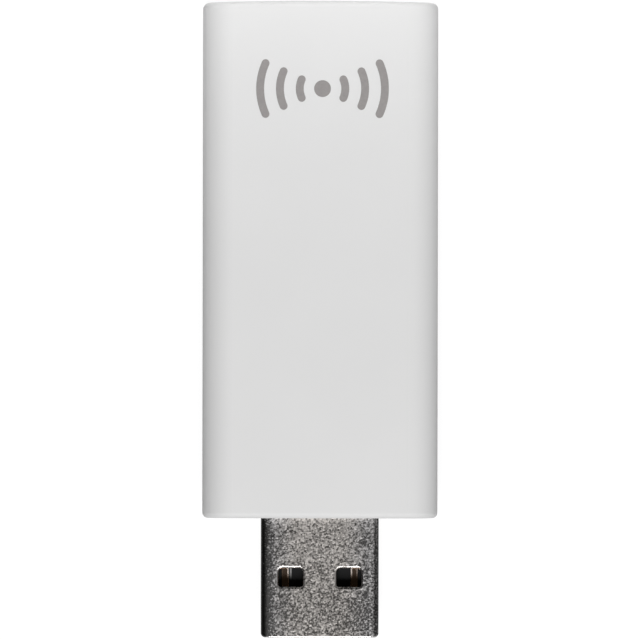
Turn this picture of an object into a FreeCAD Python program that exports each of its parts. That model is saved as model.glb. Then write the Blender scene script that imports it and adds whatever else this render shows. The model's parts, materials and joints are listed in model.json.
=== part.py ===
import FreeCAD, Part
import math
import os
from functools import lru_cache

from FreeCAD import Vector

# A radio stick for a smart home hub: a white moulded housing in two shells, a type A plug
# at one end, and the circuit board that the plug is soldered to.
# It lies on its flat back. X runs across it, +Y to the far end, -Y to the plug, and +Z out of
# the front. The origin is the middle of the space it takes up, on the surface it lies on.
# All sizes are in millimetres.

# Housing
housing_length = 52.3
housing_width = 23.8
housing_thickness = 9.6
wall = 1.2
side_radius = 3.0
far_end_radius = 350.0
far_edge_radius = 0.65
plug_edge_radius = 0.55

# Joint between the two shells
shadow_gap = 0.2
shadow_depth = 0.35
lip_height = 0.8
lip_thickness = 0.5
fit_clearance = 0.08
snap_spacing = 22.0
snap_width = 3.6
snap_thickness = 0.8
snap_wall_gap = 0.3
snap_flex_room = 0.45
snap_rise = 1.7
nib_catch = 0.35           # how far the nib reaches into its pocket
nib_height = 0.9
nib_edge = 0.25
pocket_cheek = 0.6         # wall left on each side of a snap's pocket

# Posts and ribs that hold the board and the plug
post_diameter = 2.6
pin_diameter = 1.1
pin_rise = 0.6
pin_hole_clearance = 0.05
pin_socket_clearance = 0.1
seat_gap = 0.05
post_edge_margin = 1.1
board_rib_width = 2.6
board_rib_thickness = 1.0
plug_rib_thickness = 0.9
plug_rib_setback = 1.5

# Plug
plug_width = 12.0
plug_height = 4.5
plug_sheet = 0.3
plug_reach = 12.1
plug_length = 18.6
plug_corner_radius = 0.55
mouth_edge_radius = 0.22
window_width = 2.5
window_length = 1.9
window_spacing = 5.9
window_setback = 5.2
window_corner_radius = 0.3
window_edge_chamfer = 0.12
seam_gap = 0.06
seam_key_length = 1.6
seam_key_neck = 0.7
seam_key_head = 1.1
seam_key_setback = 8.6
tab_width = 1.4
tab_reach = 1.4
tab_pitch = 2.6
tab_margin = 0.9
tab_slot_height = 1.2
aperture_clearance = 0.1

# Plug insulator and contacts
insulator_clearance = 0.05
tongue_setback = 0.4
tongue_chamfer = 0.3
cavity_depth = 8.65
spring_pocket_depth = 0.8
contact_width = 0.7
contact_thickness = 0.25
contact_stand = 0.05       # how far the contacts stand above the tongue
contact_bend_radius = 0.2
contact_nose = 0.3
outer_contact_x = 3.5
inner_contact_x = 1.0
power_contact_setback = 1.3
data_contact_setback = 2.3
channel_clearance = 0.06
tail_joggle = 0.25
tail_length = 2.4

# Board and antenna
board_thickness = 1.0
board_side_clearance = 0.4
board_end_clearance = 0.25
board_corner_radius = 0.8
notch_clearance = 0.15
antenna_zone = 8.6
antenna_edge = 0.8
trace_width = 0.8
trace_gap = 1.2
trace_legs = 8
trace_thickness = 0.05
feed_width = 0.4

# Shield over the radio
shield_width = 14.0
shield_length = 13.4
shield_height = 1.8
shield_sheet = 0.2
shield_flange = 0.6
shield_skirt_lift = 0.35
shield_corner_slit = 0.5
shield_gap = 0.02
vent_diameter = 0.9
vent_pitch = 5.0
vent_rows = 2

# Parts soldered to the board, in common package sizes
part_gap = 0.8
chip_stand = 0.05
pad_reach = 0.05
pad_length = 0.35
pad_width = 0.25
pad_height = 0.2
pad_pitch = 0.5
bridge_size = 4.0
bridge_height = 0.85
bridge_pads = 5
radio_size = 5.0
radio_height = 0.85
radio_pads = 7
leaded_length = 2.9
leaded_width = 1.6
leaded_height = 1.1
leaded_span = 2.8
leaded_draft = 0.12
lead_pitch = 0.95
lead_width = 0.4
lead_thickness = 0.15
crystal_rim = 0.15
crystal_base = 0.3
end_cap_share = 0.25
end_cap_step = 0.03
size_0402 = (1.0, 0.5, 0.5)
size_0402_resistor = (1.0, 0.5, 0.35)
size_0603 = (1.6, 0.8, 0.8)
size_0805 = (2.0, 1.25, 1.25)
radio_crystal_size = (2.5, 3.2, 0.7)
sleep_crystal_size = (1.5, 3.2, 0.8)

# Heights and places that follow from the sizes above
overall_length = housing_length + plug_reach
y_mouth = -overall_length / 2
y_far_end = overall_length / 2
y_plug_end = y_mouth + plug_reach
y_plug_rear = y_mouth + plug_length
z_mid = housing_thickness / 2
plug_top = z_mid + plug_height / 2
plug_bottom = z_mid - plug_height / 2
contact_top = z_mid + contact_stand
board_top = contact_top - contact_thickness - tail_joggle
board_bottom = board_top - board_thickness
inner_half_width = housing_width / 2 - wall
board_half_width = inner_half_width - board_side_clearance
far_end_bow = far_end_radius - math.sqrt(far_end_radius ** 2 - (housing_width / 2) ** 2)
y_board_front = y_plug_end + wall + board_end_clearance
y_board_far = y_far_end - wall - far_end_bow - board_end_clearance
y_notch = y_plug_rear + notch_clearance
y_tail_end = y_plug_rear + tail_length
y_antenna = y_board_far - antenna_zone
post_x = board_half_width - post_edge_margin - post_diameter / 2
y_post = y_antenna - post_diameter / 2
y_board_rib = y_notch + part_gap + board_rib_thickness / 2
snap_y = [(y_plug_end + y_far_end + side * snap_spacing) / 2 for side in (-1, 1)]
snap_outer_x = inner_half_width - snap_wall_gap
z_snap_top = z_mid + snap_rise
z_nib = z_snap_top - nib_height

# The rows of parts on the board, from the plug to the antenna
y_surge = y_tail_end + part_gap + leaded_span / 2
y_data_resistors = y_surge + leaded_span / 2 + part_gap / 2 + size_0402[0] / 2
y_bridge = y_data_resistors + size_0402[0] / 2 + part_gap / 2 + bridge_size / 2
y_shield = (y_bridge + bridge_size / 2 + y_post - post_diameter / 2) / 2
trace_pitch = trace_width + trace_gap
x_first_leg = -(trace_legs - 1) * trace_pitch / 2
x_feed = x_first_leg + trace_pitch
x_radio = -part_gap / 2
y_radio = y_shield - part_gap
y_matching = y_radio + radio_size / 2 + part_gap + size_0402[1] / 2


# Helpers
def box(x_range, y_range, z_range):
    """A block between two values along each axis."""
    low = Vector(x_range[0], y_range[0], z_range[0])
    return Part.makeBox(x_range[1] - low.x, y_range[1] - low.y, z_range[1] - low.z, low)


def block(x, y, bottom, across, along, height):
    """A block centred on x and y, standing on bottom."""
    return box((x - across / 2, x + across / 2), (y - along / 2, y + along / 2), (bottom, bottom + height))


def line(start, end):
    return Part.LineSegment(start, end).toShape()


def arc(place, centre, radius, start, end):
    """An arc between two angles. place turns two flat coordinates into a point."""
    points = [place(centre[0] + radius * math.cos(angle), centre[1] + radius * math.sin(angle))
              for angle in (start, (start + end) / 2, end)]
    return Part.Arc(*points).toShape()


def rounded_face(width, height, radius, place):
    """A rectangle with round corners about the origin of two flat coordinates."""
    u, v, quarter = width / 2 - radius, height / 2 - radius, math.pi / 2
    centres = [(u, v), (-u, v), (-u, -v), (u, -v)]
    corners = [arc(place, centre, radius, turn * quarter, (turn + 1) * quarter)
               for turn, centre in enumerate(centres)]
    edges = []
    for before, after in zip([corners[-1]] + corners, corners):
        edges += [line(before.lastVertex().Point, after.firstVertex().Point), after]
    return Part.Face(Part.Wire(edges))


def rounded_bar(width, height, radius, y_range):
    """A bar along Y with round corners, centred on the plug's axis."""
    face = rounded_face(width, height, radius, lambda u, v: Vector(u, y_range[0], z_mid + v))
    return face.extrude(Vector(0, y_range[1] - y_range[0], 0))


def rounded_plate(x, y, bottom, across, along, height, radius):
    """A plate lying flat, with its upright edges rounded."""
    face = rounded_face(across, along, radius, lambda u, v: Vector(x + u, y + v, bottom))
    return face.extrude(Vector(0, 0, height))


def layer(low, high):
    """A slice of space wider than the stick, between two heights."""
    reach = overall_length
    return box((-reach, reach), (-reach, reach), (low, high))


def fuse(solids):
    return solids[0].multiFuse(solids[1:]).removeSplitter()


def cut(solid, cutters):
    return solid.cut(Part.makeCompound(cutters))


def both_sides(solid):
    """A solid and its mirror image across the middle of the stick."""
    return [solid, solid.mirror(Vector(0, 0, 0), Vector(1, 0, 0))]


def strip(wire, thickness, width):
    """Sheet metal centred on x = 0, whose upper side follows a wire in the plane of Y and Z."""
    section = wire.makeOffset2D(thickness, fill=True, openResult=True)
    section.translate(Vector(-width / 2, 0, 0))
    return section.extrude(Vector(width, 0, 0))


def sharp_wire(path):
    return Part.makePolygon([Vector(0, y, z) for y, z in path])


def bent_wire(path, bend_radius):
    """A wire through (y, z) points, with an arc of one radius at each inner point."""
    points = [Vector(0, y, z) for y, z in path]
    edges = []
    start = points[0]
    for before, corner, after in zip(points, points[1:], points[2:]):
        way_in = (corner - before).normalize()
        way_out = (after - corner).normalize()
        half_turn = way_in.getAngle(way_out) / 2
        reach = bend_radius * math.tan(half_turn)
        inwards = (way_out - way_in).normalize()
        crest = corner + inwards * (bend_radius / math.cos(half_turn) - bend_radius)
        bend_start, bend_end = corner - way_in * reach, corner + way_out * reach
        edges += [line(start, bend_start), Part.Arc(bend_start, crest, bend_end).toShape()]
        start = bend_end
    edges.append(line(start, points[-1]))
    return Part.Wire(edges)


# Housing
@lru_cache(maxsize=None)
def housing_form(inset):
    """The housing's closed form, inset evenly, with one square end and one bowed end."""
    bar = rounded_bar(housing_width - 2 * inset, housing_thickness - 2 * inset, side_radius - inset,
                      (y_plug_end + inset, y_far_end))
    bow_centre = Vector(0, y_far_end - far_end_radius, 0)
    return bar.common(Part.makeCylinder(far_end_radius - inset, housing_thickness, bow_centre))


def edges_on(solid, gap_to_surface):
    """The edges of a solid that lie on a surface, given each point's distance to it."""
    return [edge for edge in solid.Edges
            if all(abs(gap_to_surface(point)) < Part.Precision.confusion() * 100
                   for point in edge.discretize(3))]


@lru_cache(maxsize=None)
def rounded_housing():
    """The outer form with the edges round its two ends rounded over."""
    bow_centre = Vector(0, y_far_end - far_end_radius, 0)
    form = housing_form(0.0)
    far_edges = edges_on(form, lambda p: Vector(p.x, p.y, 0).distanceToPoint(bow_centre) - far_end_radius)
    form = form.makeFillet(far_edge_radius, far_edges)
    return form.makeFillet(plug_edge_radius, edges_on(form, lambda p: p.y - y_plug_end))


def ring(outer_inset, inner_inset, low, high):
    """A wall that follows the housing's outline between two insets and two heights."""
    return housing_form(outer_inset).cut(housing_form(inner_inset)).common(layer(low, high))


def plug_aperture():
    """The opening in the end wall that the plug comes out of."""
    gap = aperture_clearance
    return rounded_bar(plug_width + 2 * gap, plug_height + 2 * gap, plug_corner_radius + gap,
                       (y_plug_end - wall, y_plug_end + 2 * wall))


def snap_pads(extra):
    """The stretches of the side walls that the lip leaves free for the snaps."""
    half = snap_width / 2 + fit_clearance + pocket_cheek + extra
    pads = [box((inner_half_width - wall, housing_width / 2), (y - half, y + half),
                (z_mid, housing_thickness)) for y in snap_y]
    return [side for pad in pads for side in both_sides(pad)]


def posts(bottom, top, diameter):
    """Two round posts between the shield and the antenna."""
    return both_sides(Part.makeCylinder(diameter / 2, top - bottom, Vector(post_x, y_post, bottom)))


def board_ribs(bottom, top):
    """Two short ribs beside the plug's rear end."""
    return both_sides(block(post_x, y_board_rib, bottom, board_rib_width, board_rib_thickness, top - bottom))


def plug_rib(low, high):
    """A rib across the housing that the plug is held by."""
    y = y_plug_end + wall + plug_rib_setback + plug_rib_thickness / 2
    return block(0, y, low, plug_width - 2 * plug_corner_radius, plug_rib_thickness, high - low)


def snap_pockets():
    """The pockets in the front shell's side walls that the nibs catch in."""
    half = snap_width / 2 + fit_clearance
    reach = (inner_half_width - wall, inner_half_width + nib_catch + fit_clearance)
    pockets = [box(reach, (y - half, y + half), (z_nib - seat_gap, z_snap_top + fit_clearance))
               for y in snap_y]
    return [side for pocket in pockets for side in both_sides(pocket)]


def snap(y):
    """A springy tongue with a nib at its top that faces out of the housing."""
    outer, nib_x = snap_outer_x, inner_half_width + nib_catch
    outline = [(outer - snap_thickness, 0), (outer, 0), (outer, z_nib), (nib_x, z_nib),
               (nib_x, z_nib + nib_edge), (outer, z_snap_top), (outer - snap_thickness, z_snap_top),
               (outer - snap_thickness, 0)]
    profile = Part.makePolygon([Vector(x, y - snap_width / 2, z) for x, z in outline])
    return Part.Face(profile).extrude(Vector(0, snap_width, 0))


def front_shell():
    """The front half, which closes over the rear shell's lip and snaps."""
    shell = rounded_housing().common(layer(z_mid, housing_thickness)).cut(housing_form(wall))
    rebate = ring(wall - lip_thickness - fit_clearance, wall + fit_clearance,
                  z_mid, z_mid + lip_height + fit_clearance)
    rebate = cut(rebate, snap_pads(0.0))
    shadow_line = ring(-wall, shadow_depth, z_mid, z_mid + shadow_gap)
    shell = cut(shell, [rebate, shadow_line])
    press = board_top + seat_gap
    added = posts(press, housing_thickness, post_diameter) + board_ribs(press, housing_thickness)
    added.append(plug_rib(plug_top + seat_gap, housing_thickness))
    shell = fuse([shell] + [piece.common(housing_form(wall / 2)) for piece in added])
    sockets = posts(press, board_top + pin_rise + seat_gap, pin_diameter + 2 * pin_socket_clearance)
    return cut(shell, sockets + snap_pockets() + [plug_aperture()])


def rear_shell():
    """The back half, with the lip, the snaps, and the posts, pins and ribs that carry the board."""
    shell = rounded_housing().common(layer(0, z_mid)).cut(housing_form(wall))
    lip = ring(wall - lip_thickness, wall, z_mid - lip_height, z_mid + lip_height)
    lip = cut(lip, snap_pads(fit_clearance))
    added = posts(0, board_bottom, post_diameter) + board_ribs(0, board_bottom)
    added += posts(0, board_top + pin_rise, pin_diameter)
    added.append(plug_rib(0, plug_bottom - seat_gap))
    added += [side for y in snap_y for side in both_sides(snap(y))]
    shell = fuse([shell, lip] + [piece.common(housing_form(wall / 2)) for piece in added])
    return cut(shell, [plug_aperture()])


# Plug
def window_centres():
    """The middles of the two windows in one plate of the plug."""
    y = y_mouth + window_setback + window_length / 2
    return [(side * window_spacing / 2, y) for side in (-1, 1)]


def with_windows(shell, level):
    """Cut both windows through the plate at one level and break their outer edges."""
    reach = math.hypot(window_width, window_length) / 2
    for x, y in window_centres():
        bottom = level - plug_sheet * 1.5
        shell = shell.cut(rounded_plate(x, y, bottom, window_width, window_length, 3 * plug_sheet,
                                        window_corner_radius))
        rim = [edge for edge in edges_on(shell, lambda p: p.z - level)
               if edge.CenterOfMass.distanceToPoint(Vector(x, y, level)) < reach]
        shell = shell.makeChamfer(window_edge_chamfer, rim)
    return shell


def seam_cutter():
    """The dovetailed seam in the lower plate, where the two ends of the folded sheet meet."""
    y_key = y_mouth + seam_key_setback
    y_key_end = y_key + seam_key_length
    path = [(0, y_mouth - wall), (0, y_key), (seam_key_head, y_key), (seam_key_neck, y_key_end),
            (0, y_key_end), (0, y_plug_rear + wall)]
    points = [Vector(x - seam_gap / 2, y, plug_bottom - plug_sheet) for x, y in path]
    face = Part.makePolygon(points).makeOffset2D(seam_gap, fill=True, openResult=True)
    return face.extrude(Vector(0, 0, 3 * plug_sheet))


def plug_shell():
    """The plug's folded sheet shell, with windows, a rounded mouth and tabs for the board."""
    outer = rounded_bar(plug_width, plug_height, plug_corner_radius, (y_mouth, y_plug_rear))
    outer = outer.makeFillet(mouth_edge_radius, edges_on(outer, lambda p: p.y - y_mouth))
    bore = rounded_bar(plug_width - 2 * plug_sheet, plug_height - 2 * plug_sheet,
                       plug_corner_radius - plug_sheet, (y_mouth - wall, y_plug_rear + wall))
    shell = outer.cut(bore)
    for level in (plug_top, plug_bottom):
        shell = with_windows(shell, level)
    slots, tabs = [], []
    fold = plug_width / 2 - plug_sheet
    for index in range(2):
        y = y_plug_rear - tab_margin - tab_width / 2 - index * tab_pitch
        along = (y - tab_width / 2, y + tab_width / 2)
        slot = box((fold - plug_sheet, fold + 2 * plug_sheet), along,
                   (board_top + plug_sheet, board_top + plug_sheet + tab_slot_height))
        tab = box((fold, plug_width / 2 + tab_reach), along, (board_top, board_top + plug_sheet))
        slots += both_sides(slot)
        tabs += both_sides(tab)
    return fuse([cut(shell, slots + [seam_cutter()])] + tabs)


contact_places = {
    "contact_power": (outer_contact_x, power_contact_setback),
    "contact_data_minus": (inner_contact_x, data_contact_setback),
    "contact_data_plus": (-inner_contact_x, data_contact_setback),
    "contact_ground": (-outer_contact_x, power_contact_setback),
}


def plug_contact(x, setback):
    """One contact: its nose dips into the tongue and its tail steps down to the board."""
    start = y_mouth + setback
    step = y_plug_rear + channel_clearance + contact_bend_radius
    path = [(start, contact_top - contact_nose),
            (start + contact_nose, contact_top),
            (step, contact_top),
            (step + tail_joggle, contact_top - tail_joggle),
            (y_tail_end, contact_top - tail_joggle)]
    contact = strip(bent_wire(path, contact_bend_radius), contact_thickness, contact_width)
    return contact.translate(Vector(x, 0, 0))


def contact_channel(x, setback):
    """The channel in the insulator that one contact lies in, deeper under its nose."""
    half = contact_width / 2 + channel_clearance
    y_start = y_mouth + setback - channel_clearance
    floor = contact_top - contact_thickness
    across = (x - half, x + half)
    channel = box(across, (y_start, y_plug_rear + wall), (floor, contact_top + channel_clearance))
    nose = box(across, (y_start, y_start + 4 * contact_nose),
               (floor - contact_nose - channel_clearance, floor))
    return channel.fuse(nose)


def plug_insulator():
    """The moulded tongue and rear block that hold the four contacts."""
    inset = plug_sheet + insulator_clearance
    y_tongue, y_block = y_mouth + tongue_setback, y_mouth + cavity_depth
    body = rounded_bar(plug_width - 2 * inset, plug_height - 2 * inset, plug_corner_radius - plug_sheet,
                       (y_tongue, y_plug_rear))
    body = body.cut(box((-plug_width, plug_width), (y_mouth, y_block), (z_mid, housing_thickness)))
    nose = [edge for edge in edges_on(body, lambda p: p.y - y_tongue)
            if abs(edge.CenterOfMass.z - z_mid) < insulator_clearance]
    body = body.makeChamfer(tongue_chamfer, nose)
    channels = [contact_channel(x, setback) for x, setback in contact_places.values()]
    pockets = [block(x, y, plug_bottom, window_width, window_length, plug_sheet + spring_pocket_depth)
               for x, y in window_centres()]
    return cut(body, channels + pockets)


# Board
def circuit_board():
    """The board, notched for the plug and the snaps, with holes for the two pins."""
    board = rounded_plate(0, (y_board_front + y_board_far) / 2, board_bottom, 2 * board_half_width,
                          y_board_far - y_board_front, board_thickness, board_corner_radius)
    half = plug_width / 2 + notch_clearance
    through = (board_bottom - wall, board_top + wall)
    snap_half = snap_width / 2 + notch_clearance
    snap_inner = snap_outer_x - snap_thickness - snap_flex_room
    cuts = [box((-half, half), (y_board_front - wall, y_notch), through)]
    for y in snap_y:
        cuts += both_sides(box((snap_inner, housing_width), (y - snap_half, y + snap_half), through))
    cuts += posts(*through, pin_diameter + 2 * pin_hole_clearance)
    return cut(board, cuts)


def antenna_trace():
    """The copper antenna: a folded line at the far end, a ground leg and a line to the radio."""
    high = y_board_far - antenna_edge

    def track(x_range, y_range):
        return box(x_range, y_range, (board_top, board_top + trace_thickness))

    tracks = [track((x_feed - feed_width / 2, x_feed + feed_width / 2),
                    (y_matching, y_antenna + trace_width))]
    for leg in range(trace_legs):
        x = x_first_leg + leg * trace_pitch
        tracks.append(track((x - trace_width / 2, x + trace_width / 2), (y_antenna, high)))
        if leg < trace_legs - 1:
            level = y_antenna if leg % 2 else high - trace_width
            tracks.append(track((x, x + trace_pitch), (level, level + trace_width)))
    return fuse(tracks)


def shield_frame():
    """The fence soldered round the radio, with a flange that the cover lies on."""
    gap = shield_sheet + shield_gap
    across, along = shield_width - 2 * gap, shield_length - 2 * gap
    height = shield_height - shield_sheet
    fence = block(0, y_shield, board_top, across, along, height)
    hollow = block(0, y_shield, board_top, across - 2 * shield_sheet, along - 2 * shield_sheet,
                   height - shield_sheet)
    opening = block(0, y_shield, board_top, across - 2 * shield_flange, along - 2 * shield_flange, height)
    gate = block(x_feed, y_shield + along / 2, board_top, 3 * feed_width, 4 * shield_sheet, height / 3)
    return cut(fence, [hollow, opening, gate])


def shield_cover():
    """The lid: a vented plate with four skirts folded down over the fence."""
    bottom = board_top + shield_skirt_lift
    skirt = shield_height - shield_skirt_lift - shield_sheet
    lid = block(0, y_shield, bottom, shield_width, shield_length, skirt + shield_sheet)
    cuts = [block(0, y_shield, bottom, shield_width - 2 * shield_sheet,
                  shield_length - 2 * shield_sheet, skirt)]
    for side in (-1, 1):
        slit = block(shield_width / 2, y_shield + side * shield_length / 2, bottom,
                     2 * shield_corner_slit, 2 * shield_corner_slit, skirt)
        cuts += both_sides(slit)
    steps = [(index - (vent_rows - 1) / 2) * vent_pitch for index in range(vent_rows)]
    cuts += [Part.makeCylinder(vent_diameter / 2, shield_height, Vector(x, y_shield + y, bottom))
             for x in steps for y in steps]
    return cut(lid, cuts)


# Parts soldered to the board
def flat_chip(x, y, size, height, pads):
    """A square leadless chip with a row of pads along each side."""
    depth = pad_length + pad_reach
    edge = size / 2 + pad_reach - depth / 2
    solids = [block(x, y, board_top + chip_stand, size, size, height - chip_stand)]
    for index in range(pads):
        offset = (index - (pads - 1) / 2) * pad_pitch
        for side in (-1, 1):
            solids.append(block(x + offset, y + side * edge, board_top, pad_width, depth, pad_height))
            solids.append(block(x + side * edge, y + offset, board_top, depth, pad_width, pad_height))
    return fuse(solids)


def drafted_body(across, along, bottom, height, draft):
    """A moulded body that is widest at half its height."""
    def outline(shrink, z):
        u, v = across / 2 - shrink, along / 2 - shrink
        return Part.makePolygon([Vector(u, v, z), Vector(-u, v, z), Vector(-u, -v, z), Vector(u, -v, z),
                                 Vector(u, v, z)])

    middle = outline(0, bottom + height / 2)
    return fuse([Part.makeLoft([outline(draft, z), middle], True, True) for z in (bottom, bottom + height)])


def leaded_chip(x, y, leads):
    """A small moulded chip with bent leads. leads gives the places of the leads on each long side."""
    bottom = board_top + 2 * chip_stand
    solids = [drafted_body(leaded_length, leaded_width, bottom, leaded_height - 2 * chip_stand,
                           leaded_draft)]
    root, foot = leaded_width / 2, leaded_span / 2
    knee = (root + foot) / 2
    shoulder = board_top + leaded_height / 2
    path = [(root - leaded_draft, shoulder), (knee, shoulder),
            (knee + lead_thickness / 2, board_top + lead_thickness), (foot, board_top + lead_thickness)]
    for turn, places in enumerate(leads):
        for place in places:
            lead = strip(sharp_wire(path), lead_thickness, lead_width)
            lead.translate(Vector(place * lead_pitch, 0, 0))
            solids.append(lead.rotated(Vector(0, 0, 0), Vector(0, 0, 1), 180 * turn))
    return fuse(solids).translate(Vector(x, y, 0))


def two_ended(x, y, size, along_y=True):
    """A ceramic capacitor, resistor or inductor: a body with a metal cap on each end."""
    length, width, height = size
    cap = end_cap_share * length
    body = block(0, 0, board_top + end_cap_step, length - 2 * end_cap_step, width - 2 * end_cap_step,
                 height - 2 * end_cap_step)
    caps = both_sides(block((length - cap) / 2, 0, board_top, cap, width, height))
    chip = fuse([body] + caps)
    if along_y:
        chip = chip.rotated(Vector(0, 0, 0), Vector(0, 0, 1), 90)
    return chip.translate(Vector(x, y, 0))


def crystal(x, y, size):
    """A crystal: a metal lid on a ceramic base."""
    across, along, height = size
    base = block(x, y, board_top, across, along, crystal_base)
    lid = rounded_plate(x, y, board_top + crystal_base, across - 2 * crystal_rim, along - 2 * crystal_rim,
                        height - crystal_base, crystal_rim)
    return fuse([base, lid])


def power_parts():
    """The parts between the plug and the bridge chip, and on both sides of that chip."""
    middle, pair = (0,), (-1, 1)
    x_fuse = leaded_length / 2 + part_gap + size_0805[1] / 2
    x_bead = x_fuse + size_0805[1] / 2 + part_gap + size_0603[1] / 2
    x_regulator = -(leaded_length + part_gap)
    x_small = bridge_size / 2 + part_gap + size_0402[1] / 2
    x_large = x_small + size_0402[1] / 2 + part_gap + size_0805[1] / 2
    y_small = size_0402[0] / 2 + part_gap / 2
    parts = {
        "surge_protector": leaded_chip(0, y_surge, (pair, pair)),
        "voltage_regulator": leaded_chip(x_regulator, y_surge, (middle, pair)),
        "resettable_fuse": two_ended(x_fuse, y_surge, size_0805),
        "ferrite_bead": two_ended(x_bead, y_surge, size_0603),
        "usb_bridge_chip": flat_chip(0, y_bridge, bridge_size, bridge_height, bridge_pads),
        "input_capacitor": two_ended(x_large, y_bridge, size_0805),
        "output_capacitor": two_ended(-x_large, y_bridge, size_0805),
        "pull_up_resistor": two_ended(x_small, y_bridge + y_small, size_0402_resistor),
        "bridge_capacitor": two_ended(x_small, y_bridge - y_small, size_0402),
    }
    for number, side in enumerate((-1, 1), 1):
        x = side * inner_contact_x
        parts[f"data_resistor_{number}"] = two_ended(x, y_data_resistors, size_0402_resistor)
    return parts


def radio_parts():
    """The radio chip, its crystals and capacitors, and the chain of parts that feeds the antenna."""
    across, along, _ = radio_crystal_size
    x_crystal = x_radio + radio_size / 2 + part_gap + across / 2
    y_crystal = y_radio - along / 2 + part_gap / 2
    x_capacitors = x_radio - radio_size / 2 - part_gap - size_0402[1] / 2
    parts = {
        "radio_chip": flat_chip(x_radio, y_radio, radio_size, radio_height, radio_pads),
        "radio_crystal": crystal(x_crystal, y_crystal, radio_crystal_size),
        "sleep_clock_crystal": crystal(x_crystal, y_crystal + along + part_gap / 2, sleep_crystal_size),
    }
    for number in (1, 2, 3):
        y = y_radio + (number - 2) * (size_0402[0] + part_gap)
        parts[f"decoupling_capacitor_{number}"] = two_ended(x_capacitors, y, size_0402)
    for number, side in enumerate((-1, 1), 1):
        x = x_crystal + side * across / 4
        y = y_crystal - along / 2 - part_gap / 2 - size_0402[0] / 2
        parts[f"crystal_capacitor_{number}"] = two_ended(x, y, size_0402)
    x = x_feed + feed_width / 2 + size_0402[0] / 2
    for name in ("matching_inductor_1", "matching_capacitor", "matching_inductor_2"):
        parts[name] = two_ended(x, y_matching, size_0402, along_y=False)
        x += size_0402[0] + part_gap / 2
    return parts


pieces = {
    "front_shell": front_shell(),
    "rear_shell": rear_shell(),
    "plug_shell": plug_shell(),
    "plug_insulator": plug_insulator(),
    "circuit_board": circuit_board(),
    "antenna_trace": antenna_trace(),
    "shield_frame": shield_frame(),
    "shield_cover": shield_cover(),
}
for name, (x, setback) in contact_places.items():
    pieces[name] = plug_contact(x, setback)
pieces.update(power_parts())
pieces.update(radio_parts())

os.makedirs("parts", exist_ok=True)
for name, shape in pieces.items():
    shape.exportStep(f"parts/{name}.step")
    print(f"{name}: {len(shape.Solids)} solid, {shape.Volume:.2f} mm3, valid {shape.isValid()}")
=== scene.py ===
# %% [markdown]
# # A radio stick for a smart home hub
# The stick lies on its flat back and is seen from straight above: a light plastic housing with a
# metal plug at one end. The solids come ready made from the frame, at their real size and place.
# What is left to do here is the view, the light, the finishes, a truer sheet-metal shell for the
# plug, and the grey print on the front.

# %% Load the frame
import json
import math

import bmesh
import bpy
import numpy as np
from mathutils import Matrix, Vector


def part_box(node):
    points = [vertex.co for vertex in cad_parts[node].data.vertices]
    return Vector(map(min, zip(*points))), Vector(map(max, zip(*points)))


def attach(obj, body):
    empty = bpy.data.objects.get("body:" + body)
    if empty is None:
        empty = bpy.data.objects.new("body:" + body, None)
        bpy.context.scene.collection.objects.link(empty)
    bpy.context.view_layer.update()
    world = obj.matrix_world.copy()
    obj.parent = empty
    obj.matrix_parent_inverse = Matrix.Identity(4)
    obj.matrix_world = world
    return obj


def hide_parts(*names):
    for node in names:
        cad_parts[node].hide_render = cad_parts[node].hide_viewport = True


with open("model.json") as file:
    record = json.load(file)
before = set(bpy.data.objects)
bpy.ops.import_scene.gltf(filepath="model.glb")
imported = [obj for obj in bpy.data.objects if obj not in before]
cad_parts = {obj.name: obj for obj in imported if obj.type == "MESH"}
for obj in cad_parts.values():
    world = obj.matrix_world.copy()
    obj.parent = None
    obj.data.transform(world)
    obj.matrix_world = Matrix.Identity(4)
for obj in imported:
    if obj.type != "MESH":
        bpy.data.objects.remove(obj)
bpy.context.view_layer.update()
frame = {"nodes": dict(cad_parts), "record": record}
solids = frame["nodes"]
MM = 0.001

# %% [markdown]
# ## The view
# A product picture like this one is taken with a long lens from far away, so that the sides of the
# housing stay upright. A camera could also be orthographic, but then the other views lose their
# depth. So a long lens looks down from 1.2 m. It is turned by a tenth of a degree, because the stick
# leans to the right by that much.

# %% Camera
pixels_per_mm = 9.865
image_size = 640
frame_width = image_size / pixels_per_mm * MM
camera_distance = 1.2
centre_column = 320.15
centre_row = 319.4
lean = math.radians(0.1)
mid_height = (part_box("plug_shell")[0].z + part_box("plug_shell")[1].z) / 2

lens = bpy.data.cameras.new("long_lens")
lens.lens = lens.sensor_width * camera_distance / frame_width
camera = bpy.data.objects.new("camera", lens)
camera.location = ((image_size / 2 - centre_column) / pixels_per_mm * MM,
                   (centre_row - image_size / 2) / pixels_per_mm * MM, mid_height + camera_distance)
camera.rotation_euler = (0, 0, lean)
bpy.context.scene.collection.objects.link(camera)
bpy.context.scene.camera = camera
print("focal length", round(lens.lens, 1), "mm, picture", round(frame_width / MM, 2), "mm wide")

# %% [markdown]
# ## Tools for shader nodes
# The room, the floor and all finishes are made of shader nodes. Four small helpers keep them short:
# one step of arithmetic, a vector split in three, a range stretched to another, and a colour between
# two colours. A value can be a number or the output of another node.

# %% Node helpers
def maths(tree, operation, *values):
    """One step of arithmetic."""
    made = tree.nodes.new("ShaderNodeMath")
    made.operation = operation
    for socket, value in zip(made.inputs, values):
        if isinstance(value, float):
            socket.default_value = value
        else:
            tree.links.new(value, socket)
    return made.outputs[0]


def split(tree, vector):
    """The X, Y and Z of a vector, by name."""
    made = tree.nodes.new("ShaderNodeSeparateXYZ")
    tree.links.new(vector, made.inputs[0])
    return made.outputs


def remap(tree, value, old, new, smooth=False):
    """Stretch the range old to the range new, and hold the ends."""
    made = tree.nodes.new("ShaderNodeMapRange")
    made.interpolation_type = "SMOOTHSTEP" if smooth else "LINEAR"
    for socket, limit in zip(("From Min", "From Max", "To Min", "To Max"), (*old, *new)):
        made.inputs[socket].default_value = limit
    tree.links.new(value, made.inputs["Value"])
    return made.outputs["Result"]


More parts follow.
